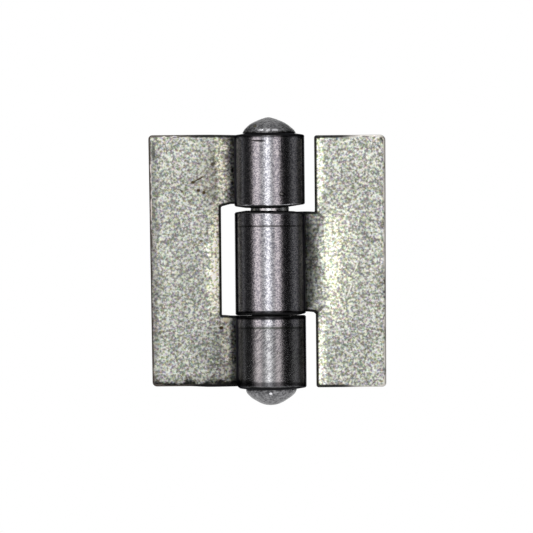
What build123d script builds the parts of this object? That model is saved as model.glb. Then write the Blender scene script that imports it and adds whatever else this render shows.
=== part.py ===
from build123d import *
import math
import os

# Steel weld-on hinge: two plain leaves, three curled knuckles and a riveted pin.
# Millimetres. +Z runs up the pin, +X points to the right leaf, and -Y to the side where the knuckles
# stand proud and their seams show. The origin is on the pin's axis, at the middle of the left leaf.

# Sheet and pin
sheet_thickness = 3.175
pin_diameter = 7.8
pin_clearance = 0.05  # all round the pin in its bores

# Leaves, measured from the pin's axis
leaf_height = 50.8
left_reach = 24.4
right_reach = 23.5
left_window_reach = 9.75
right_plate_start = 9.0
leaf_setback = 0.3  # of the front faces behind the pin's axis
swage_radius = 20.0  # of the sheet's middle, where it bends back to the knuckle
seam_gap = 0.25  # between the curl's lip and the tongue that it closes on

# Knuckles, along the pin
window_height = 22.15
knuckle_swell = 0.3  # of the wall round the bore, squeezed out by the curling
swell_land = 0.5  # width of the flat ring on which heads and knuckles bear
bearing_gap = 0.12  # under the middle knuckle, which rests low
end_play = 0.78  # left above the middle knuckle
middle_knuckle_drop = 0.3  # of the middle knuckle below the middle of its own leaf

# Edges and corners
outer_corner_radius = 0.6
notch_corner_radius = 0.5
edge_break = 0.35
least_sharp_angle = 30  # degrees between two faces, from which their edge is broken

# Pin heads
top_head_diameter = 10.7
bottom_head_diameter = 10.2
head_height = 3.5
head_rim_rounding = 0.45  # under the widest place of the dome

# Radii of the curl, which all three knuckles share
bore_radius = pin_diameter / 2 + pin_clearance
knuckle_radius = bore_radius + sheet_thickness
curl_middle_radius = bore_radius + sheet_thickness / 2

# The swage bend is tangent to the plate and to the curl. Its centre is swage_radius behind the middle
# of the plate, and as far from the pin's axis as both bends' radii together.
front_bend_radius = swage_radius + sheet_thickness / 2
back_bend_radius = swage_radius - sheet_thickness / 2
bend_centre_y = leaf_setback + front_bend_radius
bend_centre_distance = curl_middle_radius + swage_radius
bend_start = math.sqrt(bend_centre_distance**2 - bend_centre_y**2)
tongue_angle = math.degrees(math.atan2(bend_centre_y, bend_start))
bend_turn = 90 - tongue_angle

# The curl runs round until its outer corner is seam_gap short of the tongue's front face.
lip_distance = front_bend_radius + seam_gap
lip_cosine = (bend_centre_distance**2 + knuckle_radius**2 - lip_distance**2) / (
    2 * bend_centre_distance * knuckle_radius
)
curl_sweep = 360 - math.degrees(math.acos(lip_cosine))

# Places along the pin
leaf_top = leaf_height / 2
window_top = window_height / 2
middle_knuckle_bottom = bearing_gap + knuckle_swell - window_top
middle_knuckle_top = window_top - 2 * knuckle_swell - end_play
right_leaf_middle = (middle_knuckle_bottom + middle_knuckle_top) / 2 + middle_knuckle_drop
right_leaf_bottom = right_leaf_middle - leaf_top
right_leaf_top = right_leaf_middle + leaf_top
head_seat = leaf_top + knuckle_swell


def leaf_section(reach):
    """The bent sheet seen down the pin: plate out to reach, swage bend, tongue and curl."""
    plate_back = leaf_setback + sheet_thickness
    with BuildSketch() as section:
        with BuildLine():
            front = Line((reach, leaf_setback), (bend_start, leaf_setback))
            CenterArc((bend_start, bend_centre_y), front_bend_radius, -90, -bend_turn)
            bore = CenterArc((0, 0), bore_radius, tongue_angle, curl_sweep)
            skin = CenterArc((0, 0), knuckle_radius, tongue_angle, curl_sweep)
            Line(bore @ 1, skin @ 1)
            CenterArc((bend_start, bend_centre_y), back_bend_radius, -90, -bend_turn)
            back = Line((bend_start, plate_back), (reach, plate_back))
            Line(back @ 1, front @ 0)
        make_face()
    return section.sketch


def swollen_end(height, outward):
    """The dished ring that the curling squeezes out of a knuckle's end, up (1) or down (-1)."""
    tongue_direction = Vector(1, 0, 0).rotate(Axis.Z, tongue_angle)
    plane_normal = tongue_direction.cross(Axis.Z.direction)
    crest = height + outward * knuckle_swell
    with BuildPart() as ring:
        with BuildSketch(Plane(origin=(0, 0, 0), x_dir=tongue_direction, z_dir=plane_normal)):
            with BuildLine():
                Polyline(
                    (bore_radius, height - outward * edge_break),
                    (bore_radius, crest - outward * edge_break),
                    (bore_radius + edge_break, crest),
                    (bore_radius + edge_break + swell_land, crest),
                    (knuckle_radius - edge_break, height),
                    close=True,
                )
            make_face()
        revolve(axis=Axis.Z, revolution_arc=curl_sweep)
    return ring.part


def sharp_edges(leaf):
    """Every edge of the sheet, apart from the lines where one bend runs smoothly into the next face."""
    touching = {edge: [] for edge in leaf.edges()}
    for face in leaf.faces():
        for edge in face.edges():
            touching[edge].append(face)
    sharp = []
    for edge, faces in touching.items():
        middle = edge @ 0.5
        first, second = (face.normal_at(middle) for face in faces)
        if first.get_angle(second) > least_sharp_angle:
            sharp.append(edge)
    return sharp


left_section = leaf_section(left_reach)
left_swells = [swollen_end(leaf_top, 1), swollen_end(window_top, -1), swollen_end(-leaf_top, -1)]

# Left leaf: a C-shaped blank whose two tongues are curled into the top and the bottom knuckle
with BuildPart() as left_leaf:
    with BuildSketch(Plane.XY.offset(-leaf_top)):
        mirror(left_section, about=Plane.YZ)
    extrude(amount=leaf_height)
    with BuildSketch(Plane.XZ) as window:
        with Locations((-left_window_reach, 0)):
            Rectangle(2 * left_window_reach, window_height, align=(Align.MIN, Align.CENTER))
        fillet(window.vertices().group_by(Axis.X)[0], radius=notch_corner_radius)
    extrude(amount=2 * knuckle_radius, both=True, mode=Mode.SUBTRACT)
    fillet(left_leaf.edges().filter_by(Axis.Y).group_by(Axis.X)[0], radius=outer_corner_radius)
    chamfer(sharp_edges(left_leaf), length=edge_break)
    for swell in left_swells:
        mirror(swell, about=Plane.YZ)
left_leaf.part.label = "left_leaf"

right_section = leaf_section(right_reach)
right_swells = [swollen_end(middle_knuckle_top, 1), swollen_end(middle_knuckle_bottom, -1)]

# Right leaf: a plate with one tongue, which is curled into the middle knuckle
with BuildPart() as right_leaf:
    with BuildSketch(Plane.XY.offset(right_leaf_bottom)):
        add(right_section)
    extrude(amount=leaf_height)
    with BuildSketch(Plane.XZ) as notches:
        with Locations((0, middle_knuckle_top)):
            Rectangle(2 * right_plate_start, leaf_height, align=(Align.CENTER, Align.MIN))
        with Locations((0, middle_knuckle_bottom)):
            Rectangle(2 * right_plate_start, leaf_height, align=(Align.CENTER, Align.MAX))
        inner_corners = notches.vertices().group_by(Axis.X)[-1].sort_by(Axis.Y)[1:3]
        fillet(inner_corners, radius=notch_corner_radius)
    extrude(amount=2 * knuckle_radius, both=True, mode=Mode.SUBTRACT)
    fillet(right_leaf.edges().filter_by(Axis.Y).group_by(Axis.X)[-1], radius=outer_corner_radius)
    chamfer(sharp_edges(right_leaf), length=edge_break)
    add(right_swells)
right_leaf.part.label = "right_leaf"

# Pin: a round bar with a domed head at each end, the second one riveted over the knuckle
with BuildPart() as hinge_pin:
    Cylinder(radius=pin_diameter / 2, height=2 * head_seat)
    for head_diameter, outward in ((top_head_diameter, 1), (bottom_head_diameter, -1)):
        rim = head_diameter / 2
        dome_height = head_height - head_rim_rounding
        dome_radius = (rim**2 + dome_height**2) / (2 * dome_height)
        seat_centre = (0, outward * head_seat)
        foot = (rim - head_rim_rounding, outward * head_seat)
        widest = (rim, outward * (head_seat + head_rim_rounding))
        apex = (0, outward * (head_seat + head_height))
        with BuildSketch(Plane.XZ):
            with BuildLine():
                Line(apex, seat_centre)
                Line(seat_centre, foot)
                RadiusArc(foot, widest, -outward * head_rim_rounding)
                RadiusArc(widest, apex, -outward * dome_radius)
            make_face()
        revolve(axis=Axis.Z)
hinge_pin.part.label = "hinge_pin"

os.makedirs("parts", exist_ok=True)
export_step(left_leaf.part, "parts/left_leaf.step")
export_step(right_leaf.part, "parts/right_leaf.step")
export_step(hinge_pin.part, "parts/hinge_pin.step")
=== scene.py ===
import math

import bmesh
import bpy
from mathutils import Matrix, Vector, geometry, noise


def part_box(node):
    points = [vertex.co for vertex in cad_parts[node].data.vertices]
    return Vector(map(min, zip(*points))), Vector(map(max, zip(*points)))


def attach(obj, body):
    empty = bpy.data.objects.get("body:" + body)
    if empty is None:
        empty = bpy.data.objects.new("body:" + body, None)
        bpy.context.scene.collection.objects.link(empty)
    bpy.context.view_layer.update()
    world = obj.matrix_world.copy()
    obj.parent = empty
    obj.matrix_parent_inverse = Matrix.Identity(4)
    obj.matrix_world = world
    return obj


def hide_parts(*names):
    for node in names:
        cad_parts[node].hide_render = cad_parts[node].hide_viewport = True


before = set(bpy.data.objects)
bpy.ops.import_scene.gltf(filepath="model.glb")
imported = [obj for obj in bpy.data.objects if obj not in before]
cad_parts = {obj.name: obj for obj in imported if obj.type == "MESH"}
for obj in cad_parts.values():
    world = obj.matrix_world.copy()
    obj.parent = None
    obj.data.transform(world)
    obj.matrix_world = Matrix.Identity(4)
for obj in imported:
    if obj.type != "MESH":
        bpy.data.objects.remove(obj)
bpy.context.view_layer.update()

# Left leaf. One C-shaped blank of 1/8 inch mill-finish steel sheet. Its two tongues are set back in a
# shallow swage bend beside the barrel and curled round the pin, front face inwards, into the top and
# the bottom knuckle. The curl's lip stops just short of the tongue.
mm = 0.001
sheet = 3.175 * mm
setback = 0.3 * mm  # of the plates' front faces behind the pin's axis
swage_radius = 20.0 * mm
seam_gap = 0.25 * mm
edge_rounding = 0.38 * mm
left_low, left_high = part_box("left_leaf")
knuckle_radius = left_high.x
curl_radius = knuckle_radius - sheet / 2
swell = 0.3 * mm  # of the wall round the bore, at the ends of the knuckles
swell_land = 0.85 * mm  # width of its flat ring round the bore, on which heads and knuckles bear
leaf_top = left_high.z - swell
window_top = 11.075 * mm
window_reach = 9.75 * mm

plate_middle = setback + sheet / 2
front_bend_radius = swage_radius + sheet / 2
bend_centre_distance = swage_radius + curl_radius
bend_start = math.sqrt(bend_centre_distance**2 - (plate_middle + swage_radius) ** 2)
tongue_angle = math.atan2(plate_middle + swage_radius, bend_start)
swage_length = swage_radius * (math.pi / 2 - tongue_angle)
lip_distance = front_bend_radius + seam_gap
lip_cosine = (bend_centre_distance**2 + knuckle_radius**2 - lip_distance**2) / (
    2 * bend_centre_distance * knuckle_radius
)
lip_end = swage_length + curl_radius * (2 * math.pi - math.acos(lip_cosine))


def wire(tree, kind, *values, out=0, **settings):
    """Adds a node to a tree, sets or links its inputs in their order, and returns one of its outputs."""
    node = tree.nodes.new(kind)
    for name, value in settings.items():
        setattr(node, name, value)
    for socket, value in zip(node.inputs, values):
        if isinstance(value, bpy.types.NodeSocket):
            tree.links.new(value, socket)
        elif value is not None:
            socket.default_value = value
    return node.outputs[out]


def maths(tree, operation, *values):
    return wire(tree, "ShaderNodeMath", *values, operation=operation)


def ramp(tree, value, low, high, start=0.0, end=1.0, shape="SMOOTHSTEP"):
    """Start below low, end above high, and a smooth or straight slope between them."""
    return wire(tree, "ShaderNodeMapRange", value, low, high, start, end, interpolation_type=shape)


def plan_length(front_x):
    """How far along the sheet's middle, from the start of the bend, its front face comes to front_x."""
    return swage_radius * math.asin((bend_start - front_x) / front_bend_radius)


def smooth(value, start, end):
    share = min(max((value - start) / (end - start), 0.0), 1.0)
    return share * share * (3 - 2 * share)


def along_curve(points, value):
    """The height of a smooth curve through points, at value."""
    height = points[0][1]
    for (start, low), (end, high) in zip(points, points[1:]):
        height += (high - low) * smooth(value, start, end)
    return height


def flat_blank(
    name, corners, corner_radii, tongues, swollen_ends, slant, rolled_sides, roll_reach, roll_drop
):
    """The blank before bending, along X towards the pin, up Y and in thickness Z, cut finely for bending.

    Each tongue is its low and high edge, and for either edge how far it strays along the tongue. The
    rolled sides are those whose front edge the blanking punch dragged down, each by the number of the
    corner where it starts.
    """
    slab = bmesh.new()
    rim = [slab.verts.new((along, up, -sheet / 2)) for along, up in corners]
    slab.faces.new(rim)
    for vertex, radius in zip(rim, corner_radii):
        if radius:
            bmesh.ops.bevel(
                slab, geom=[vertex], offset=radius, offset_type="OFFSET", segments=5,
                profile=0.5, affect="VERTICES",
            )
    wall = bmesh.ops.extrude_face_region(slab, geom=slab.faces[:])["geom"]
    for vertex in (v for v in wall if isinstance(v, bmesh.types.BMVert)):
        vertex.co.z += sheet
    bmesh.ops.recalc_face_normals(slab, faces=slab.faces[:])
    outline = [e for e in slab.edges if abs(e.verts[0].co.z - e.verts[1].co.z) < sheet / 2]
    bmesh.ops.bevel(
        slab, geom=outline, offset=edge_rounding, offset_type="OFFSET", segments=4,
        profile=0.5, affect="EDGES",
    )

    plate_end = min(along for along, _ in corners)
    low = min(up for _, up in corners)
    high = max(up for _, up in corners)
    curl_step = 0.26 * mm
    plate_step = 0.55 * mm
    first_cut = 0.8 * mm  # in from the blank's outer edges
    plate_steps = int((swage_length - plate_end) / plate_step)
    along_cuts = [plate_end + first_cut + plate_step * i for i in range(plate_steps)]
    along_cuts = [cut for cut in along_cuts if cut < swage_length]
    along_cuts += [swage_length + curl_step * i for i in range(int((lip_end - swage_length) / curl_step))]
    up_cuts = [low + first_cut + plate_step * i for i in range(int((high - low - mm) / plate_step))]
    depth_cuts = [sheet * share for share in (-0.22, 0.0, 0.22)]
    for axis, cuts in enumerate((along_cuts, up_cuts, depth_cuts)):
        normal = Vector(axis == i for i in range(3))
        for cut in cuts:
            bmesh.ops.bisect_plane(
                slab, geom=slab.verts[:] + slab.edges[:] + slab.faces[:], dist=0.002 * mm,
                plane_co=normal * cut, plane_no=normal,
            )

    sides = [(Vector(a), Vector(b)) for a, b in zip(corners, corners[1:] + corners[:1])]
    slack = 0.01 * mm
    push_reach = 1.5 * mm  # of a swollen end into its knuckle
    slant_start = 2 * mm  # towards the pin from where the bend starts
    pushes = []
    edge_distances = []
    for vertex in slab.verts:
        along, up, _ = vertex.co
        point = Vector((along, up))
        away = []
        for first, last in sides:
            _, share = geometry.intersect_point_line(point, first, last)
            away.append((point - first.lerp(last, min(max(share, 0), 1))).length)
        edge_distances.append(min(away))
        rolled = max(0.0, 1 - min(away[i] for i in rolled_sides) / roll_reach)
        vertex.co.z -= roll_drop * rolled**2 * (0.5 + vertex.co.z / sheet)
        for bottom, top, bottom_edge, top_edge in tongues:
            if bottom - slack <= up <= top + slack:
                share = (up - bottom) / (top - bottom)
                strays = [along_curve(edge, along / mm) * mm for edge in (bottom_edge, top_edge)]
                vertex.co.y += strays[0] * (1 - share) + strays[1] * share
        pushes.append(sum(way * max(0.0, 1 - abs(up - end) / push_reach) for end, way in swollen_ends))
        vertex.co.x += slant * smooth(-along, -slant_start, -plate_end) * (0.5 - up / (high - low))
    blank = bpy.data.meshes.new(name)
    slab.to_mesh(blank)
    slab.free()
    blank.attributes.new("end_push", "FLOAT", "POINT").data.foreach_set("value", pushes)
    blank.attributes.new("edge_distance", "FLOAT", "POINT").data.foreach_set("value", edge_distances)
    return bpy.data.objects.new(name, blank)


def bending_tree():
    """Swages and curls a blank. A point keeps its place in the flat blank as the attribute flat.

    Late Bend lets the bend start later towards the tongue's two edges, where the dies held it less.
    """
    late_bend_power = 2.2
    fade_start = 4.5 * mm
    fade_end = 9 * mm
    swell_run_in = 1.5 * mm
    tree = bpy.data.node_groups.new("Swage and curl", "GeometryNodeTree")
    tree.interface.new_socket("Blank", in_out="INPUT", socket_type="NodeSocketGeometry")
    for name in (
        "Bend Start", "Plate Middle", "Swage Radius", "Curl Radius", "Tongue Angle", "Side",
        "Late Bend", "Middle Height", "Half Height", "Swell", "Swell Outer Radius", "Swell Inner Radius",
    ):
        tree.interface.new_socket(name, in_out="INPUT", socket_type="NodeSocketFloat")
    tree.interface.new_socket("Steel", in_out="INPUT", socket_type="NodeSocketMaterial")
    tree.interface.new_socket("Leaf", in_out="OUTPUT", socket_type="NodeSocketGeometry")
    given = tree.nodes.new("NodeGroupInput").outputs
    radius = given["Swage Radius"]
    curl = given["Curl Radius"]

    place = wire(tree, "GeometryNodeInputPosition")
    along, up, depth = wire(tree, "ShaderNodeSeparateXYZ", place).node.outputs
    length = maths(tree, "MULTIPLY", radius, maths(tree, "SUBTRACT", math.pi / 2, given["Tongue Angle"]))
    inside = maths(tree, "MAXIMUM", along, 0.0)
    angle = maths(tree, "DIVIDE", maths(tree, "MINIMUM", inside, length), radius)
    reach = maths(tree, "ADD", radius, depth)
    bent_x = maths(
        tree, "SUBTRACT",
        maths(tree, "SUBTRACT", given["Bend Start"], maths(tree, "MINIMUM", along, 0.0)),
        maths(tree, "MULTIPLY", reach, maths(tree, "SINE", angle)),
    )
    bent_y = maths(
        tree, "SUBTRACT",
        maths(tree, "ADD", given["Plate Middle"], radius),
        maths(tree, "MULTIPLY", reach, maths(tree, "COSINE", angle)),
    )

    from_middle = maths(tree, "ABSOLUTE", maths(tree, "SUBTRACT", up, given["Middle Height"]))
    share = maths(tree, "MINIMUM", maths(tree, "DIVIDE", from_middle, given["Half Height"]), 1.0)
    delay = maths(tree, "MULTIPLY", given["Late Bend"], maths(tree, "POWER", share, late_bend_power))
    late = maths(tree, "MAXIMUM", maths(tree, "SUBTRACT", along, delay), 0.0)
    less = maths(
        tree, "SUBTRACT", maths(tree, "MULTIPLY", inside, inside), maths(tree, "MULTIPLY", late, late)
    )
    fade = ramp(tree, along, fade_start, fade_end, 1.0, 0.0)
    rise = maths(tree, "MULTIPLY", fade, maths(tree, "DIVIDE", less, maths(tree, "MULTIPLY", radius, 2.0)))
    bent_y = maths(tree, "SUBTRACT", bent_y, rise)

    curled = maths(tree, "MAXIMUM", maths(tree, "SUBTRACT", along, length), 0.0)
    turn = maths(tree, "ADD", given["Tongue Angle"], maths(tree, "DIVIDE", curled, curl))
    from_axis = maths(tree, "SUBTRACT", curl, depth)
    is_curled = wire(tree, "FunctionNodeCompare", along, length, operation="GREATER_THAN")
    x = wire(
        tree, "GeometryNodeSwitch", is_curled, bent_x,
        maths(tree, "MULTIPLY", from_axis, maths(tree, "COSINE", turn)), input_type="FLOAT",
    )
    y = wire(
        tree, "GeometryNodeSwitch", is_curled, bent_y,
        maths(tree, "MULTIPLY", from_axis, maths(tree, "SINE", turn)), input_type="FLOAT",
    )
    push = wire(tree, "GeometryNodeInputNamedAttribute", "end_push", data_type="FLOAT")
    swollen = ramp(
        tree, from_axis, given["Swell Inner Radius"], given["Swell Outer Radius"], given["Swell"], 0.0,
        "LINEAR",
    )
    begun = ramp(tree, curled, 0.0, swell_run_in)
    z = maths(tree, "ADD", up, maths(tree, "MULTIPLY", push, maths(tree, "MULTIPLY", swollen, begun)))
    target = wire(tree, "ShaderNodeCombineXYZ", maths(tree, "MULTIPLY", x, given["Side"]), y, z)

    kept = wire(
        tree, "GeometryNodeStoreNamedAttribute", given["Blank"], True, "flat", place,
        data_type="FLOAT_VECTOR", domain="POINT",
    )
    bent = wire(tree, "GeometryNodeSetPosition", kept, True, target)
    turned_over = wire(tree, "FunctionNodeCompare", given["Side"], 0.0, operation="GREATER_THAN")
    outwards = wire(tree, "GeometryNodeFlipFaces", bent, turned_over)
    plain = wire(tree, "GeometryNodeRealizeInstances", outwards)
    steel = wire(tree, "GeometryNodeSetMaterial", plain, True, given["Steel"])
    tree.links.new(steel, tree.nodes.new("NodeGroupOutput").inputs["Leaf"])
    return tree


def bend_leaf(blank, side, late_bend, middle_height, half_height, steel):
    """Runs the bending tree on a blank and leaves a plain mesh under the same name."""
    bpy.context.scene.collection.objects.link(blank)
    modifier = blank.modifiers.new("Swage and curl", "NODES")
    modifier.node_group = bending
    sizes = {
        "Bend Start": bend_start, "Plate Middle": plate_middle, "Swage Radius": swage_radius,
        "Curl Radius": curl_radius, "Tongue Angle": tongue_angle, "Side": side, "Late Bend": late_bend,
        "Middle Height": middle_height, "Half Height": half_height, "Swell": swell,
        "Swell Outer Radius": knuckle_radius - edge_rounding,
        "Swell Inner Radius": knuckle_radius - sheet + swell_land, "Steel": steel,
    }
    for socket in bending.interface.items_tree:
        if socket.name in sizes:
            modifier[socket.identifier] = sizes[socket.name]
    evaluated = blank.evaluated_get(bpy.context.evaluated_depsgraph_get())
    bent = bpy.data.meshes.new_from_object(evaluated)
    blank.modifiers.clear()
    blank.data = bent
    bent.shade_smooth()
    return blank


def mixed(tree, share, first, second, **settings):
    return wire(
        tree, "ShaderNodeMix", share, None, None, None, None, None, first, second,
        out=2, data_type="RGBA", **settings,
    )


def in_mm(tree, place):
    return wire(tree, "ShaderNodeVectorMath", place, (1 / mm, 1 / mm, 1 / mm), operation="MULTIPLY")


def mottle(tree, place, scale, detail, roughness, **settings):
    return wire(tree, "ShaderNodeTexNoise", place, None, scale, detail, roughness, **settings)


def spot(tree, place, centre, reach, turn=0.0):
    """A soft oval about a centre, 1 inside and 0 outside, in the millimetres of place."""
    local = wire(
        tree, "ShaderNodeMapping", place, centre, (0, 0, math.radians(turn)), reach, vector_type="TEXTURE"
    )
    away = wire(tree, "ShaderNodeVectorMath", local, operation="LENGTH", out=1)
    return ramp(tree, away, 0.5, 1.0, 1.0, 0.0)


def on_leaf(tree, place, centre, reach, turn):
    """A spot on the side that shows: the blank's front on its plate, and its back on its knuckles."""
    side = 1 if centre[0] * mm < swage_length else -1
    through = 1.2  # millimetres of the sheet that a spot soaks into
    return spot(tree, place, (*centre, side * sheet / 2 / mm), (*reach, through), turn)


def sheet_steel(name, tone, sheared, painted_highlights, marks, shade_start, shade_end, tongue_span, painted_shade_spots=()):
    """Pale, finely speckled mill finish on the plates, darker and smoother where the curl is burnished.

    Each mark is a spot on the blank: its centre and reach in millimetres along the blank and up, its turn,
    and a colour with its strength. Painted highlights are spots made brighter where the bends catch the
    light, and painted-shade spots are darker by the share that they end with. Painted shade darkens the
    curl's lip and the tongues' fronts beside the barrel, where tongue_span is how far from the leaf's
    middle it begins and is full. Sheared is the colour of the outer edges.
    """
    steel = bpy.data.materials.new(name)
    steel.use_nodes = True
    tree = steel.node_tree
    shader = tree.nodes["Principled BSDF"]
    place = in_mm(tree, wire(tree, "ShaderNodeAttribute", attribute_name="flat", out=1))
    along, up, depth = wire(tree, "ShaderNodeSeparateXYZ", place).node.outputs
    burnish = ramp(tree, along, 8.0, 13.0)
    straying = mottle(tree, place, 0.5, 3.0, 0.65, out=1, normalize=False)
    wavy = wire(tree, "ShaderNodeVectorMath", straying, (1.0, 1.0, 0.0), place, operation="MULTIPLY_ADD")

    # Speckled mill finish of the plates
    noisy = ramp(tree, mottle(tree, place, 2.15, 2.0, 0.6), 0.34, 0.66, 0, 1, "LINEAR")
    crystals = wire(tree, "ShaderNodeTexVoronoi", place, None, 2.6, out=1)
    crystals = wire(tree, "ShaderNodeSeparateColor", crystals)
    fine = wire(tree, "ShaderNodeMix", 0.3, None, noisy, crystals, data_type="FLOAT")
    coarse = mottle(tree, place, 0.3, 3.0, 0.6)
    tinted = wire(
        tree, "ShaderNodeVectorMath", mottle(tree, place, 1.9, 1.0, 0.5, out=1), (0.8, 0.8, 1.5),
        (0.1, 0.1, -0.25), operation="MULTIPLY_ADD",
    )
    flecks = maths(tree, "POWER", ramp(tree, fine, 0.1, 0.9), 1.35)
    pale = mixed(tree, flecks, (0.215, 0.22, 0.198, 1), (0.78, 0.795, 0.715, 1))
    pale = mixed(tree, 0.45, pale, tinted, blend_type="OVERLAY")
    # Random tone of the sheet, times painted shade that darkens the plates towards the bottom
    tone_and_painted_falloff = maths(
        tree, "MULTIPLY", ramp(tree, coarse, 0.3, 0.7, 0.86 * tone, 1.1 * tone),
        ramp(tree, up, -24, 24, 0.93, 1.01, "LINEAR"),
    )
    pale = wire(tree, "ShaderNodeVectorMath", pale, None, None, tone_and_painted_falloff, operation="SCALE")

    # Burnished knuckles, of which the bottom one is duller and scored on a slant
    rubbed_grain = ramp(tree, mottle(tree, place, 3.4, 2.0, 0.6), 0.34, 0.66)
    dark = mixed(tree, rubbed_grain, (0.28, 0.28, 0.32, 1), (0.68, 0.67, 0.7, 1))
    duller = maths(
        tree, "MULTIPLY", ramp(tree, up, -13.6, -12.8, 1.0, 0.0), ramp(tree, coarse, 0.3, 0.6, 0.6, 1.0)
    )
    slanting = wire(
        tree, "ShaderNodeMapping", place, None, (0, 0, math.radians(40)), (0.22, 0.85, 1.0),
        vector_type="TEXTURE",
    )
    scored = mottle(tree, slanting, 1.0, 2.0, 0.6)
    scored = ramp(tree, scored, 0.36, 0.62, ramp(tree, up, -22.0, -17.0, 0.35, 0.0), 1.0)
    scored = mixed(tree, scored, (0.1, 0.1, 0.105, 1), (0.44, 0.44, 0.44, 1))
    dark = mixed(tree, maths(tree, "MULTIPLY", duller, 0.75), dark, scored)
    colour = mixed(tree, burnish, pale, dark)

    # Painted highlights where the bends catch the light
    for centre, reach, turn, strength in painted_highlights:
        painted_light_spot = maths(tree, "MULTIPLY", on_leaf(tree, wavy, centre, reach, turn), strength)
        colour = mixed(tree, painted_light_spot, colour, (1.85, 1.84, 1.66, 1), blend_type="MULTIPLY")
    # Painted shade, darker by each spot's share
    for centre, reach, turn, share in painted_shade_spots:
        left_over = maths(tree, "MULTIPLY_ADD", on_leaf(tree, wavy, centre, reach, turn), share - 1, 1.0)
        colour = wire(tree, "ShaderNodeVectorMath", colour, None, None, left_over, operation="SCALE")
    for centre, reach, turn, tint, strength in marks:
        mark = maths(tree, "MULTIPLY", on_leaf(tree, place, centre, reach, turn), strength)
        colour = mixed(tree, mark, colour, (*tint, 1))

    # Painted shade on the curl's lip, and in front beside the barrel, where it begins nearer to the bottom
    # knuckle
    wavy_along = wire(tree, "ShaderNodeSeparateXYZ", wavy)
    later = maths(tree, "SUBTRACT", wavy_along, ramp(tree, up, -14.0, -11.0, 0.8, 0.0))
    beside_barrel = maths(
        tree, "MULTIPLY", ramp(tree, later, shade_start, shade_end), ramp(tree, depth, -0.5, 0.5),
    )
    beside_barrel = maths(tree, "MULTIPLY", beside_barrel, ramp(tree, along, 4.6, 5.8, 1.0, 0.3))
    from_middle = maths(tree, "ABSOLUTE", maths(tree, "ADD", up, 0.5))
    on_tongue = ramp(tree, from_middle, *tongue_span)
    barrel_and_lip_shade = maths(tree, "MULTIPLY", maths(tree, "MULTIPLY", beside_barrel, on_tongue), 0.75)
    lip = lip_end / mm
    barrel_and_lip_shade = maths(tree, "MAXIMUM", barrel_and_lip_shade, ramp(tree, along, lip - 4.0, lip - 2.4, 0.0, 0.92))
    colour = mixed(tree, barrel_and_lip_shade, colour, (0.014, 0.014, 0.017, 1))

    # Dark rims: painted shade on the rounded inner edges and the knuckles' edges, wider on the inner edges
    # and thinner on the knuckles, and the sheared colour, patchy, on the outer edges
    edge = wire(tree, "ShaderNodeAttribute", attribute_name="edge_distance", out=2)
    inner = ramp(tree, along, -6.0, -1.0)
    outer = maths(tree, "SUBTRACT", 1.0, inner)
    wider = maths(tree, "MULTIPLY", inner, 0.14)
    thinner = maths(tree, "MULTIPLY", burnish, ramp(tree, coarse, 0.35, 0.65, 0.12, 0.3))
    patchy = maths(tree, "MULTIPLY", outer, ramp(tree, coarse, 0.42, 0.58, -0.24, 0.06))
    from_edge = maths(tree, "SUBTRACT", maths(tree, "MULTIPLY", edge, 1 / mm), wider)
    from_edge = maths(tree, "SUBTRACT", maths(tree, "ADD", from_edge, thinner), patchy)
    rim = ramp(tree, from_edge, 0.3, 0.54, 1.0, 0.0)
    # Black painted shade on the inner edges, the sheared edges' own colour on the outer ones
    edge_shade_and_shear = mixed(tree, inner, (*sheared, 1), (0.012, 0.012, 0.012, 1))
    colour = mixed(tree, maths(tree, "MULTIPLY", rim, 0.95), colour, edge_shade_and_shear)

    tree.links.new(colour, shader.inputs["Base Color"])
    shader.inputs["Metallic"].default_value = 1.0
    shader.inputs["Specular Tint"].default_value = (0.35, 0.35, 0.38, 1)
    matt = ramp(tree, fine, 0, 1, 0.26, 0.36, "LINEAR")
    polished = ramp(tree, fine, 0, 1, 0.14, 0.2, "LINEAR")
    rough = wire(tree, "ShaderNodeMix", burnish, None, matt, polished, data_type="FLOAT")
    # Rougher at the rims and where shade is painted
    rougher_at_rims_and_shade = maths(tree, "MAXIMUM", maths(tree, "MULTIPLY", rim, 0.6), maths(tree, "MULTIPLY", barrel_and_lip_shade, 0.3))
    tree.links.new(maths(tree, "MAXIMUM", rough, rougher_at_rims_and_shade), shader.inputs["Roughness"])
    height = wire(tree, "ShaderNodeMix", burnish, None, fine, rubbed_grain, data_type="FLOAT")
    strength = ramp(tree, burnish, 0, 1, 0.38, 0.17, "LINEAR")
    relief = wire(tree, "ShaderNodeBump", strength, grain_depth, None, height)
    tree.links.new(relief, shader.inputs["Normal"])
    return steel


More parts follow.
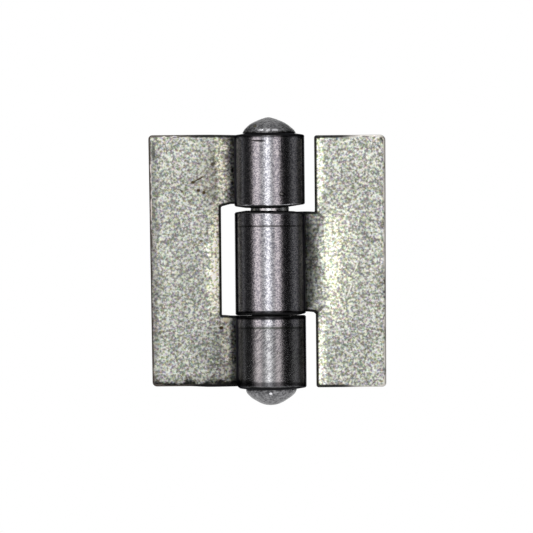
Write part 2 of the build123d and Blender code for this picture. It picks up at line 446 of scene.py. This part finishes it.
bending = bending_tree()
grain_depth = 0.05 * mm
rust = (0.05, 0.035, 0.018)
# Near-black painted shade for crevices and the gaps between knuckles
painted_shade_black = (0.01, 0.01, 0.012)
# Painted shade on the barrel's side away from the leaf
far_side_shade = ((22.6, 0.0), (3.6, 60.0), 0, (0.012, 0.012, 0.018), 0.92)  # of the barrel, away from the leaf
left_steel = sheet_steel(
    "left_mill_finish", tone=0.835, sheared=(0.1, 0.086, 0.076),
    # painted highlights along the swage bend
    painted_highlights=[
        ((2.0, 0.0), (1.7, 14.0), 0, 1.0),
        ((2.2, 0.0), (0.8, 13.0), 0, 0.5),
        ((3.1, 20.0), (1.2, 9.5), 4, 1.0),
        ((3.9, -17.0), (1.0, 7.0), 8, 0.4),
    ],
    marks=[
        # painted shade along the rolled outer edge, a dark blotch, and a pale line along it
        ((-10.6, -4.0), (1.3, 26.0), 0, (0.13, 0.11, 0.105), 0.2),
        ((-10.25, 22.2), (0.55, 2.4), 0, (0.05, 0.05, 0.05), 0.75),
        ((-10.9, 14.0), (0.3, 12.0), 0, (0.7, 0.62, 0.6), 0.7),
        # painted highlight along the edge under the window, and a stain above it
        ((4.2, -11.85), (1.8, 0.5), 0, (0.75, 0.74, 0.68), 0.6),
        ((0.8, 17.0), (3.2, 6.5), 0, (0.3, 0.25, 0.18), 0.15),
        # one scratch and specks of rust
        ((-1.1, 16.6), (1.6, 0.2), 27, rust, 1.0),
        ((-2.3, 15.95), (0.55, 0.42), 0, rust, 1.0),
        ((-1.25, 14.3), (0.5, 0.42), 0, rust, 1.0),
        ((-0.1, 13.85), (0.45, 0.5), 0, rust, 1.0),
        ((1.65, 19.6), (0.45, 0.5), 0, rust, 0.8),
        ((-4.55, 14.1), (0.35, 0.4), 0, rust, 0.8),
        ((-0.75, 4.1), (0.45, 0.35), 0, rust, 0.8),
        ((2.9, -13.5), (0.55, 0.45), 0, rust, 1.0),
        ((3.9, -11.8), (0.9, 0.7), 0, (0.5, 0.45, 0.22), 0.5),
        # nick, dent, pit and score on the knuckles
        ((32.9, 24.1), (1.6, 0.25), 4, (0.02, 0.02, 0.02), 0.95),
        ((29.2, 13.35), (0.7, 0.6), 0, (0.03, 0.03, 0.03), 0.9),
        ((29.25, 13.4), (0.35, 0.3), 0, (0.9, 0.9, 0.9), 0.8),
        ((30.0, -18.6), (0.4, 0.35), 0, (0.12, 0.12, 0.12), 0.8),
        ((30.0, -18.6), (0.16, 0.14), 0, (0.7, 0.7, 0.7), 0.8),
        ((31.0, -13.6), (9.0, 0.3), 0, (0.06, 0.07, 0.06), 0.75),
        # painted shade beside the top knuckle, on the knuckles' ends and on the side away from the leaf
        ((5.3, 18.3), (0.35, 0.55), 0, painted_shade_black, 0.9),
        ((5.3, 15.7), (0.35, 0.5), 0, painted_shade_black, 0.9),
        ((31.0, -11.4), (14.0, 0.72), 0, painted_shade_black, 0.95),
        ((31.0, -25.2), (14.0, 1.0), 0, (0.04, 0.04, 0.045), 0.75),
        ((37.0, -24.9), (4.0, 1.2), 0, (0.03, 0.03, 0.033), 0.8),
        ((31.0, 25.35), (14.0, 0.75), 0, (0.03, 0.03, 0.033), 0.85),
        far_side_shade,
    ],
    # where the painted shade beside the barrel begins and is full, along the blank
    shade_start=3.0, shade_end=6.8, tongue_span=(9.5, 12.5),
    # painted shade along the outer and bottom edges, and on two patches of the plate
    painted_shade_spots=[
        ((-10.5, 12.0), (1.5, 16.0), 0, 0.68),
        ((-10.6, -12.0), (1.5, 20.0), 0, 0.68),
        ((-2.0, -25.4), (24.0, 1.7), 0, 0.07),
        ((-3.0, -24.6), (20.0, 2.2), 0, 0.75),
        ((0.8, 17.0), (3.2, 6.5), 0, 0.85),
        ((1.2, -19.0), (5.4, 9.0), 0, 0.82),
    ],
)
plate_edge = left_low.x + bend_start
window_end = plan_length(window_reach)
left_corners = [
    (plate_edge, -leaf_top), (lip_end, -leaf_top), (lip_end, -window_top), (window_end, -window_top),
    (window_end, window_top), (lip_end, window_top), (lip_end, leaf_top), (plate_edge, leaf_top),
]
left_corner_radii = [0.9 * mm, 0, 0, 0.35 * mm, 0.35 * mm, 0, 0, 0.8 * mm]
# How far the tongues' sheared edges stray from straight, as places along the blank and heights, in mm
high_tongue_bottom = [(3.2, 0), (5.3, 0.45), (8, 0.45), (14, 0), (22.5, 0.2), (31.2, -0.26), (39.9, -0.12)]
high_tongue_top = [(0, 0.14), (8, 0.02), (39, 0)]
low_tongue_bottom = [
    (-4, 0.18), (1, 0), (8, 0.05), (20, 0), (23.5, -0.3), (31.2, -0.48), (37.5, -0.35), (39.9, 0.35),
]
low_tongue_top = [(1.5, 0), (3.2, 0.2), (5.3, 0.05), (14, -0.05), (22.5, 0.03), (31.2, 0), (39.9, 0.03)]
left_blank = flat_blank(
    "left_leaf_sheet", left_corners, left_corner_radii,
    tongues=[
        (window_top, leaf_top, high_tongue_bottom, high_tongue_top),
        (-leaf_top, -window_top, low_tongue_bottom, low_tongue_top),
    ],
    swollen_ends=[(leaf_top, 1), (window_top, -1), (-leaf_top, -1)],
    slant=0.4 * mm, rolled_sides=(3,), roll_reach=2.4 * mm, roll_drop=0.3 * mm,
)
left_leaf = bend_leaf(
    left_blank, side=-1, late_bend=0.0, middle_height=0.0, half_height=leaf_top, steel=left_steel
)
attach(left_leaf, "fixed_leaf")
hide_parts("left_leaf")

# Right leaf. A blank of the same sheet with one tongue, swaged and curled in the same dies into the
# middle knuckle. It turns on the pin between the left leaf's knuckles.
right_steel = sheet_steel(
    "right_mill_finish", tone=0.975, sheared=(0.6, 0.58, 0.54),
    # painted highlights along the swage bend
    painted_highlights=[
        ((0.5, -0.5), (2.2, 14.0), 0, 0.45),
        ((-1.0, -0.5), (4.6, 15.0), 0, 0.33),
        ((3.0, 18.5), (1.4, 9.5), 0, 1.0),
        ((3.0, -19.0), (1.4, 9.5), 0, 1.0),
    ],
    marks=[
        # nicked corner and top edge
        ((-9.5, 24.4), (0.9, 0.22), 49, (0.03, 0.028, 0.026), 0.85),
        ((-6.5, 24.9), (1.4, 0.2), 0, (0.04, 0.036, 0.032), 0.85),
        # two bright scratches
        ((-2.8, -6.1), (0.2, 2.2), 19, (0.9, 0.9, 0.84), 0.7),
        ((-4.1, -1.6), (0.16, 1.8), 22, (0.9, 0.9, 0.84), 0.5),
        # painted shade in the creases at the corners of the notches
        ((2.9, 9.2), (1.7, 0.4), 45, (0.06, 0.055, 0.05), 0.8),
        ((2.9, -9.9), (1.7, 0.4), -45, (0.06, 0.055, 0.05), 0.8),
        # score, and painted shade on the knuckle's lower end and far side
        ((31.0, 6.9), (9.0, 0.26), 0, (0.06, 0.06, 0.06), 0.8),
        ((31.0, -10.5), (14.0, 0.5), 0, painted_shade_black, 0.95),
        far_side_shade,
    ],
    # where the painted shade beside the barrel begins and is full, along the blank
    shade_start=1.4, shade_end=4.6, tongue_span=(12.0, 8.0),
)
right_low, right_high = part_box("right_leaf")
middle_knuckle_bottom = -10.655 * mm
middle_knuckle_top = 9.695 * mm
right_plate_start = 9.0 * mm
right_bottom = right_low.z - 0.12 * mm  # cut a little long
plate_edge = bend_start - right_high.x
notch_end = plan_length(right_plate_start)
right_corners = [
    (plate_edge, right_bottom), (notch_end, right_bottom), (notch_end, middle_knuckle_bottom),
    (lip_end, middle_knuckle_bottom), (lip_end, middle_knuckle_top), (notch_end, middle_knuckle_top),
    (notch_end, right_high.z), (plate_edge, right_high.z),
]
right_corner_radii = [0.75 * mm, 0.5 * mm, 0.35 * mm, 0, 0, 0.35 * mm, 0.5 * mm, 1.1 * mm]
middle_tongue_bottom = [(3, 0), (5.5, 0.28), (14, -0.1), (22.5, -0.33), (36, -0.35), (39, -0.12)]
middle_tongue_top = [(3, 0), (5.5, 0.18), (14, 0.05), (22.5, 0.14), (31.2, 0.04), (39.9, -0.06)]
right_blank = flat_blank(
    "right_leaf_sheet", right_corners, right_corner_radii,
    tongues=[(middle_knuckle_bottom, middle_knuckle_top, middle_tongue_bottom, middle_tongue_top)],
    swollen_ends=[(middle_knuckle_top, 1)],
    slant=0.3 * mm, rolled_sides=(1, 5), roll_reach=1.6 * mm, roll_drop=0.12 * mm,
)
right_leaf = bend_leaf(
    right_blank, side=1, late_bend=2.3 * mm, middle_height=(middle_knuckle_bottom + middle_knuckle_top) / 2,
    half_height=10.2 * mm, steel=right_steel,
)
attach(right_leaf, "moving_leaf")
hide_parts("right_leaf")

# Pin. A plain round bar with a forged domed head above, riveted over into a second dome below. It is
# tight in the left leaf's two knuckles, so it stays with that leaf.
pin_radius = 3.9 * mm
head_seat = leaf_top + swell
top_dome = [
    (3.9, -0.3), (4.1, 0.0), (5.25, 0.0), (5.36, 0.02), (5.35, 0.16), (5.22, 0.37), (5.1, 0.57), (4.96, 0.77),
    (4.8, 0.97), (4.57, 1.17), (4.14, 1.58), (3.58, 1.98), (2.8, 2.38), (1.76, 2.79), (1.02, 3.04),
    (0.5, 3.19), (0.12, 3.24),
]
bottom_dome = [
    (3.9, -0.3), (4.1, 0.0), (5.0, 0.0), (5.1, 0.04), (5.1, 0.53), (5.02, 0.73), (4.83, 1.13), (4.44, 1.54),
    (3.98, 1.94), (3.36, 2.34), (2.67, 2.75), (1.86, 3.15), (1.15, 3.37), (0.5, 3.46), (0.12, 3.48),
]


def softened(points):
    """The points with each corner cut twice."""
    for _ in range(2):
        cut = [points[0]]
        for (r0, z0), (r1, z1) in zip(points, points[1:]):
            cut += [
                (0.75 * r0 + 0.25 * r1, 0.75 * z0 + 0.25 * z1),
                (0.25 * r0 + 0.75 * r1, 0.25 * z0 + 0.75 * z1),
            ]
        points = cut + [points[-1]]
    return points


upper = [(r * mm, head_seat + z * mm) for r, z in softened(top_dome)]
lower = [(r * mm, -head_seat - z * mm) for r, z in softened(bottom_dome)]
shank_steps = 40
shank = [(pin_radius, head_seat * (2 * i / shank_steps - 1)) for i in range(1, shank_steps)]
profile = lower[::-1] + shank + upper
turns = 128
dent_size = 1.3 * mm
dent_share = 0.02  # of the dome's radius
head_offset = -0.13 * mm  # of both domes from the pin's axis, along X
round_bar = bmesh.new()
rings = []
for radius, height in profile:
    ring = []
    hammered = smooth(abs(height), head_seat + 0.2 * mm, head_seat + 1.5 * mm)
    off_centre = head_offset * hammered
    for i in range(turns):
        turn = 2 * math.pi * i / turns
        place = Vector((math.cos(turn) * radius, math.sin(turn) * radius, height))
        dented = 1 - dent_share * hammered * (0.5 + noise.noise(place / dent_size))
        ring.append(round_bar.verts.new((place.x * dented + off_centre, place.y * dented, height)))
    rings.append(ring)
for below, above in zip(rings, rings[1:]):
    for i in range(turns):
        round_bar.faces.new((below[i], below[(i + 1) % turns], above[(i + 1) % turns], above[i]))
round_bar.faces.new(rings[0][::-1])
round_bar.faces.new(rings[-1])
pin_mesh = bpy.data.meshes.new("pin_bar")
round_bar.to_mesh(pin_mesh)
round_bar.free()
pin_mesh.shade_smooth()
pin = bpy.data.objects.new("pin_bar", pin_mesh)
bpy.context.scene.collection.objects.link(pin)

pin_steel = bpy.data.materials.new("dull_pin_steel")
pin_steel.use_nodes = True
tree = pin_steel.node_tree
shader = tree.nodes["Principled BSDF"]
place = in_mm(tree, wire(tree, "ShaderNodeTexCoord", out=3))
signed_height = wire(tree, "ShaderNodeSeparateXYZ", place, out=2)
height = maths(tree, "ABSOLUTE", signed_height)

# Bare shank and dull, blotched domes, with a painted highlight on the front of the lower one
grain = ramp(tree, mottle(tree, place, 1.9, 3.0, 0.65), 0.3, 0.7)
head = ramp(tree, height, 25.0, 25.7)
lower_head = ramp(tree, signed_height, -1.0, 1.0, 1.0, 0.8)
dull = mixed(tree, grain, (0.06, 0.06, 0.064, 1), (0.32, 0.32, 0.33, 1))
dull = wire(tree, "ShaderNodeVectorMath", dull, None, None, lower_head, operation="SCALE")
blotches = ramp(tree, mottle(tree, place, 0.8, 2.0, 0.6), 0.42, 0.6, 0.75, 0.0)
below_rim = maths(
    tree, "MULTIPLY", ramp(tree, signed_height, -27.1, -26.4, 0.25, 1.0),
    ramp(tree, signed_height, -1, 1, 1, 0.45),
)
dull = mixed(tree, maths(tree, "MULTIPLY", blotches, below_rim), dull, (0.035, 0.035, 0.037, 1))
# Painted highlight on the lower head's front
lower_head_glint = spot(tree, place, (-0.15, -4.7, -26.8), (0.4, 1.2, 0.3))
dull = mixed(tree, lower_head_glint, dull, (0.85, 0.85, 0.88, 1))
colour = mixed(tree, head, (0.95, 0.95, 0.97, 1), dull)

# Painted shade under both rims, eased in front of the upper one, and on the shank from the lower gap down
uneven = maths(tree, "ADD", height, maths(tree, "MULTIPLY", grain, 0.5))
painted_light_spot = spot(tree, place, (-0.2, -5.0, 25.9), (3.4, 2.5, 1.2))
painted_light_spot = maths(tree, "SUBTRACT", 1.0, maths(tree, "MULTIPLY", painted_light_spot, 0.6))
shadowed = maths(tree, "MULTIPLY", ramp(tree, uneven, 26.2, 26.5, 0.9, 0.0), head)
shadowed = maths(tree, "MULTIPLY", shadowed, painted_light_spot)
colour = mixed(tree, shadowed, colour, (0.02, 0.019, 0.018, 1))
lower_gap_shade = ramp(tree, signed_height, -9.8, -9.4, 0.95, 0.0)
colour = mixed(tree, maths(tree, "SUBTRACT", lower_gap_shade, head), colour, (0.012, 0.012, 0.014, 1))

# One speck, and a painted highlight round the upper rim
speck = spot(tree, place, (-2.8, -3.2, 27.1), (0.45, 1.2, 0.3))
colour = mixed(tree, maths(tree, "MULTIPLY", speck, 0.7), colour, (0.1, 0.08, 0.015, 1))
rim_highlight = maths(
    tree, "MULTIPLY", ramp(tree, signed_height, 26.05, 26.2), ramp(tree, signed_height, 26.4, 26.6, 1.0, 0.0),
)
# The painted highlight is faint all round and strongest in three places
glints = 0.12  # all round the bead, which is brighter in three places
for across, reach in ((-1.65, 0.85), (-0.15, 0.5), (1.2, 0.8)):
    glints = maths(tree, "MAXIMUM", glints, spot(tree, place, (across, -4.8, 26.25), (reach, 1.6, 0.5)))
rim_highlight = maths(tree, "MULTIPLY", rim_highlight, glints)
colour = mixed(tree, maths(tree, "MULTIPLY", rim_highlight, 0.8), colour, (0.6, 0.6, 0.62, 1))

tree.links.new(colour, shader.inputs["Base Color"])
shader.inputs["Metallic"].default_value = 0.9
dome_polish = ramp(tree, grain, 0, 1, 0.26, 0.42)
dome_polish = wire(tree, "ShaderNodeMix", rim_highlight, None, dome_polish, 0.2, data_type="FLOAT")
polish = wire(tree, "ShaderNodeMix", head, None, 0.2, dome_polish, data_type="FLOAT")
tree.links.new(polish, shader.inputs["Roughness"])
strength = ramp(tree, head, 0, 1, 0.3, 0.8, "LINEAR")
relief = wire(tree, "ShaderNodeBump", strength, grain_depth, None, grain)
tree.links.new(relief, shader.inputs["Normal"])
pin_mesh.materials.append(pin_steel)
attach(pin, "fixed_leaf")
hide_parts("hinge_pin")

# Camera. A long lens square to the plates, as the hinge is shown, rolled by the fraction of a degree
# that the barrel leans.
photo_side = 533
pixels_per_mm = 4.953
axis_pixel = (270.3, 260.6)  # of the pin's axis at the middle of the left leaf's height
camera_distance = 1.5
camera_roll = math.radians(0.55)
camera = bpy.data.objects.new("camera", bpy.data.cameras.new("camera"))
bpy.context.scene.collection.objects.link(camera)
frame_width = photo_side / pixels_per_mm * mm
camera.data.lens = camera.data.sensor_width * camera_distance / frame_width
aim_x = (photo_side / 2 - axis_pixel[0]) / pixels_per_mm * mm
aim_z = (axis_pixel[1] - photo_side / 2) / pixels_per_mm * mm
camera.location = (aim_x, -camera_distance, aim_z)
camera.rotation_euler = (math.pi / 2, camera_roll, 0)
bpy.context.scene.camera = camera

# Floor. Plain pale paper below the hinge, which hangs from its mount. It glows white for the eye and in
# reflections, less so near the hinge, and still takes its shadow.
floor_drop = 75 * mm
floor_radius = 0.26
sides = 96
paper_grey = 0.6
glow_near = (0.12, 0.7)  # metres from the floor's middle, and the share of the white that shows there
glow_far = (0.25, 1.0)


def seen_white(tree):
    """1 for the eye, in reflections and through glass, and 0 for the light that falls on the hinge."""
    rays = tree.nodes.new("ShaderNodeLightPath").outputs
    mirrored = maths(tree, "ADD", rays["Is Glossy Ray"], rays["Is Transmission Ray"])
    return maths(tree, "MINIMUM", maths(tree, "ADD", rays["Is Camera Ray"], mirrored), 1.0)


floor_mesh = bpy.data.meshes.new("floor")
rim = [2 * math.pi * i / sides for i in range(sides)]
floor_mesh.from_pydata(
    [(math.cos(turn) * floor_radius, math.sin(turn) * floor_radius, -floor_drop) for turn in rim],
    [], [range(sides)],
)
floor = bpy.data.objects.new("floor", floor_mesh)
bpy.context.scene.collection.objects.link(floor)
paper = bpy.data.materials.new("white_paper")
paper.use_nodes = True
tree = paper.node_tree
tree.nodes.clear()
from_middle = wire(tree, "ShaderNodeTexCoord", out=3)
from_middle = wire(tree, "ShaderNodeVectorMath", from_middle, operation="LENGTH", out=1)
glow = ramp(tree, from_middle, glow_near[0], glow_far[0], glow_near[1], glow_far[1])
glow = maths(tree, "MULTIPLY", seen_white(tree), glow)
surface = wire(
    tree, "ShaderNodeAddShader", wire(tree, "ShaderNodeBsdfDiffuse", (paper_grey, paper_grey, paper_grey, 1)),
    wire(tree, "ShaderNodeEmission", (1, 1, 1, 1), glow),
)
tree.links.new(surface, tree.nodes.new("ShaderNodeOutputMaterial").inputs[0])
floor_mesh.materials.append(paper)

# Studio. White all round for the eye, with one soft lamp. A tent of cloth stands round the hinge and
# shows in reflections only. Its bright and dark panels give the knuckles their bands.
sky_light = 0.4  # of the white world, on the hinge
world = bpy.data.worlds.new("white_studio")
bpy.context.scene.world = world
world.use_nodes = True
tree = world.node_tree
background = tree.nodes["Background"]
background.inputs["Color"].default_value = (1, 1, 1, 1)
whiteness = ramp(tree, seen_white(tree), 0, 1, sky_light, 1.0, "LINEAR")
tree.links.new(whiteness, background.inputs["Strength"])

tent_radius = 1.1
tent_height = 2.6
tent_turn = 160  # degrees to either side of the front
steps = 60
brightest = 2.4
warmth = 0.08  # less green and blue than red in a warm panel
bands = [  # degrees from the front, radiance, and whether it is warm
    (-160, 0.02, 0), (-138, 0.02, 0), (-122, 0.14, 0), (-103, 0.18, 0), (-90, 0.03, 0), (-68, 0.02, 0),
    (-58, 0.15, 1), (-50, 0.9, 1), (-40, 1.2, 1), (-32, 0.8, 1), (-27, 0.42, 0), (-22, 0.5, 0),
    (-15, 1.0, 0), (-7, 2.4, 0), (0, 1.3, 0), (6, 0.5, 0), (12, 0.36, 0), (18, 0.95, 1),
    (24, 1.15, 1), (30, 0.8, 1), (38, 0.08, 1), (46, 0.01, 0), (64, 0.01, 0), (78, 0.1, 0),
    (88, 0.18, 0), (98, 0.12, 0), (112, 0.01, 0), (160, 0.01, 0),
]
turns = [math.radians(-tent_turn + 2 * tent_turn * i / steps) for i in range(steps + 1)]
points = [
    (math.sin(turn) * tent_radius, -math.cos(turn) * tent_radius, side * tent_height / 2)
    for turn in turns for side in (-1, 1)
]
tent_mesh = bpy.data.meshes.new("light_tent")
tent_mesh.from_pydata(points, [], [(2 * i, 2 * i + 1, 2 * i + 3, 2 * i + 2) for i in range(steps)])
tent = bpy.data.objects.new("light_tent", tent_mesh)
bpy.context.scene.collection.objects.link(tent)
cloth = bpy.data.materials.new("tent_cloth")
cloth.use_nodes = True
tree = cloth.node_tree
tree.nodes.clear()
x, y, _ = wire(tree, "ShaderNodeSeparateXYZ", wire(tree, "ShaderNodeTexCoord", out=3)).node.outputs
azimuth = maths(tree, "ARCTAN2", x, maths(tree, "MULTIPLY", y, -1.0))
across = ramp(tree, azimuth, -math.radians(tent_turn), math.radians(tent_turn), 0, 1, "LINEAR")
panels = wire(tree, "ShaderNodeValToRGB", across)
elements = panels.node.color_ramp.elements
elements.remove(elements[0])
for number, (turn, radiance, warm) in enumerate(bands):
    position = (turn + tent_turn) / (2 * tent_turn)
    element = elements.new(position) if number else elements[0]
    element.position = position
    level = radiance / brightest
    cooler = level * (1 - warmth * warm)
    element.color = (level, cooler, cooler, 1)
shade = wire(tree, "ShaderNodeEmission", panels, brightest)
tree.links.new(shade, tree.nodes.new("ShaderNodeOutputMaterial").inputs[0])
tent_mesh.materials.append(cloth)
tent.visible_camera = tent.visible_diffuse = tent.visible_shadow = tent.visible_transmission = False

key = bpy.data.lights.new("soft_key", "AREA")
key.shape = "DISK"
key.size = 0.5
key.energy = 4.0
key_stand = bpy.data.objects.new("soft_key", key)
key_stand.location = (-0.15, -0.65, 0.65)
key_stand.rotation_euler = (-key_stand.location).to_track_quat("-Z", "Y").to_euler()
bpy.context.scene.collection.objects.link(key_stand)

bpy.context.scene.view_settings.view_transform = "Standard"
